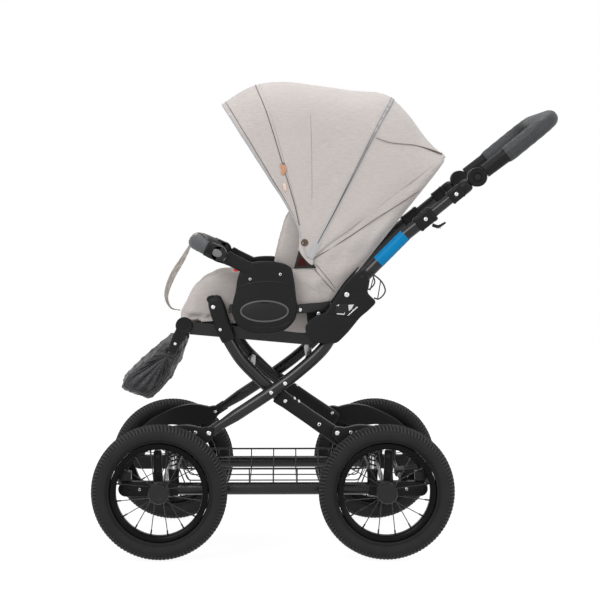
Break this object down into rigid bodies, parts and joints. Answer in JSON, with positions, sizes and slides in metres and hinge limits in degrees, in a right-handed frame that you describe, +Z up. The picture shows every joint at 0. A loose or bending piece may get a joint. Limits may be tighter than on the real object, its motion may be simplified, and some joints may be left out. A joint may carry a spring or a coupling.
{
  "type": "pram",
  "caption": "Folding cross-frame pram with spoked pneumatic wheels, C-arm suspension, wire basket, reversible padded seat, bumper bar, footrest, canopy and tilting handle",
  "frame": {"origin": "on the floor, in the middle of the overall length and width", "axes": "+Z up, -X towards the front where the child's feet are, +X towards the handle, +Y across to the far side"},
  "size_m": [1.0718, 0.596, 1.0955],
  "materials": {
    "frame_paint": "satin black powder coat",
    "black_plastic": "moulded, fine grain",
    "tyre": "rubber with moulded tread",
    "bare_steel": "zinc plated",
    "seat_cloth": "woven greige melange",
    "dark_cloth": "crinkled black nylon",
    "leatherette": "stitched leatherette",
    "grey_plastic": "smooth grey",
    "webbing": "flat brown webbing"
  },
  "bodies": {
    "chassis": {"rail_near": "frame_paint", "rail_far": "frame_paint", "front_axle": "bare_steel", "rear_axle": "bare_steel", "basket": "frame_paint", "hoop_front_near": "black_plastic", "spring_front_near": "frame_paint", "hoop_front_far": "black_plastic", "spring_front_far": "frame_paint", "hoop_rear_near": "black_plastic", "spring_rear_near": "frame_paint", "hoop_rear_far": "black_plastic", "spring_rear_far": "frame_paint"},
    "wheel_front_near": {"tyre_front_near": "tyre", "spoked_rim_front_near": "frame_paint"},
    "wheel_front_far": {"tyre_front_far": "tyre", "spoked_rim_front_far": "frame_paint"},
    "wheel_rear_near": {"tyre_rear_near": "tyre", "spoked_rim_rear_near": "frame_paint"},
    "wheel_rear_far": {"tyre_rear_far": "tyre", "spoked_rim_rear_far": "frame_paint"},
    "brake": {"brake_bar": "black_plastic"},
    "outer_legs": {"outer_leg_near": "frame_paint", "outer_leg_far": "frame_paint", "rear_bracket_near": "black_plastic", "rear_bracket_far": "black_plastic", "wire_loop_near": "frame_paint", "wire_loop_far": "frame_paint", "outer_cross_tube": "frame_paint"},
    "inner_legs": {"inner_leg_near": "frame_paint", "inner_leg_far": "frame_paint", "inner_lower_sleeve_near": "black_plastic", "inner_lower_sleeve_far": "black_plastic", "inner_top_sleeve_near": "black_plastic", "inner_top_sleeve_far": "black_plastic", "inner_cross_tube": "frame_paint"},
    "spreaders": {"spreader_bar_near": "frame_paint", "spreader_bar_far": "frame_paint"},
    "handle": {"handle_tube_near": "frame_paint", "handle_tube_far": "frame_paint"},
    "lever": {"handle_lever": "black_plastic"},
    "grip": {"tilt_disc_near": "black_plastic", "tilt_disc_far": "black_plastic", "handle_grip": "leatherette"},
    "seat": {"seat_housing_near": "black_plastic", "seat_housing_far": "black_plastic", "seat_frame": "frame_paint", "seat_cushion": "seat_cloth", "crotch_strap": "webbing"},
    "footrest": {"footrest_hinge": "frame_paint", "footrest_cover": "dark_cloth"},
    "bumper": {"bumper_bar": "leatherette"},
    "button_near": {"bumper_button_near": "grey_plastic"},
    "button_far": {"bumper_button_far": "grey_plastic"},
    "backrest": {"backrest_frame": "black_plastic", "backrest_cushion": "seat_cloth", "hood_rear_panel": "seat_cloth"},
    "hood_mid": {"hood_mid_bow": "frame_paint"},
    "hood_front": {"hood_front_bow": "frame_paint", "hood_front_panel": "seat_cloth"}
  },
  "joints": [
    {"name": "spin_front_near", "type": "hinge", "parent": "chassis", "child": "wheel_front_near", "pos_m": [-0.381, -0.27, 0.155], "axis": [0, 1, 0], "continuous": true},
    {"name": "spin_front_far", "type": "hinge", "parent": "chassis", "child": "wheel_front_far", "pos_m": [-0.381, 0.27, 0.155], "axis": [0, 1, 0], "continuous": true},
    {"name": "spin_rear_near", "type": "hinge", "parent": "chassis", "child": "wheel_rear_near", "pos_m": [0.136, -0.27, 0.155], "axis": [0, 1, 0], "continuous": true},
    {"name": "spin_rear_far", "type": "hinge", "parent": "chassis", "child": "wheel_rear_far", "pos_m": [0.136, 0.27, 0.155], "axis": [0, 1, 0], "continuous": true},
    {"name": "brake_press", "type": "hinge", "parent": "chassis", "child": "brake", "pos_m": [0.18, 0, 0.16], "axis": [0, 1, 0], "range_deg": [0, 14]},
    {"name": "frame_fold", "type": "hinge", "parent": "chassis", "child": "outer_legs", "pos_m": [-0.27, 0, 0.284], "axis": [0, 1, 0], "range_deg": [0, 30]},
    {"name": "inner_fold", "type": "hinge", "parent": "chassis", "child": "inner_legs", "pos_m": [0.025, 0, 0.272], "axis": [0, 1, 0], "range_deg": [-42, 0]},
    {"name": "spreader_fold", "type": "hinge", "parent": "outer_legs", "child": "spreaders", "pos_m": [-0.018, 0, 0.556], "axis": [0, 1, 0], "range_deg": [-30, 0]},
    {"name": "handle_fold", "type": "hinge", "parent": "outer_legs", "child": "handle", "pos_m": [0.0456, 0, 0.602], "axis": [0, 1, 0], "range_deg": [-100, 0]},
    {"name": "lever_squeeze", "type": "hinge", "parent": "handle", "child": "lever", "pos_m": [0.2428, 0, 0.7603], "axis": [0, 1, 0], "range_deg": [0, 14], "stiffness_Nm_per_rad": 0.6, "springref_deg": -2.86},
    {"name": "handle_tilt", "type": "hinge", "parent": "handle", "child": "grip", "pos_m": [0.3447, 0, 0.87], "axis": [0, 1, 0], "range_deg": [-45, 45]},
    {"name": "seat_lift", "type": "slide", "parent": "chassis", "child": "seat", "axis": [0, 0, 1], "range_m": [0, 0.8]},
    {"name": "footrest_fold", "type": "hinge", "parent": "seat", "child": "footrest", "pos_m": [-0.3285, 0, 0.527], "axis": [0, 1, 0], "range_deg": [0, 50]},
    {"name": "bumper_tilt", "type": "hinge", "parent": "seat", "child": "bumper", "pos_m": [-0.247, 0, 0.695], "axis": [0, 1, 0], "range_deg": [0, 60], "deforming": ["crotch_strap"]},
    {"name": "button_press_near", "type": "slide", "parent": "bumper", "child": "button_near", "axis": [0, 1, 0], "range_m": [0, 0.0018], "stiffness_N_per_m": 2500, "springref_m": -0.0008},
    {"name": "button_press_far", "type": "slide", "parent": "bumper", "child": "button_far", "axis": [0, -1, 0], "range_m": [0, 0.0018], "stiffness_N_per_m": 2500, "springref_m": -0.0008},
    {"name": "recline", "type": "hinge", "parent": "seat", "child": "backrest", "pos_m": [-0.028, 0, 0.515], "axis": [0, 1, 0], "range_deg": [-10, 30]},
    {"name": "hood_fold", "type": "hinge", "parent": "backrest", "child": "hood_mid", "pos_m": [-0.042, 0, 0.6755], "axis": [0, 1, 0], "range_deg": [0, 18], "deforming": ["hood_rear_panel", "hood_front_panel"]},
    {"name": "hood_front_fold", "type": "hinge", "parent": "hood_mid", "child": "hood_front", "pos_m": [-0.042, 0, 0.6755], "axis": [0, 1, 0], "range_deg": [0, 22]}
  ],
  "couplings": [
    {"joint": "inner_fold", "follows": "frame_fold", "ratio": -1.4},
    {"joint": "spreader_fold", "follows": "frame_fold", "ratio": -1},
    {"joint": "seat_lift", "follows": "frame_fold", "m_per_rad": 1.5264},
    {"joint": "hood_front_fold", "follows": "hood_fold", "ratio": 1.222}
  ]
}
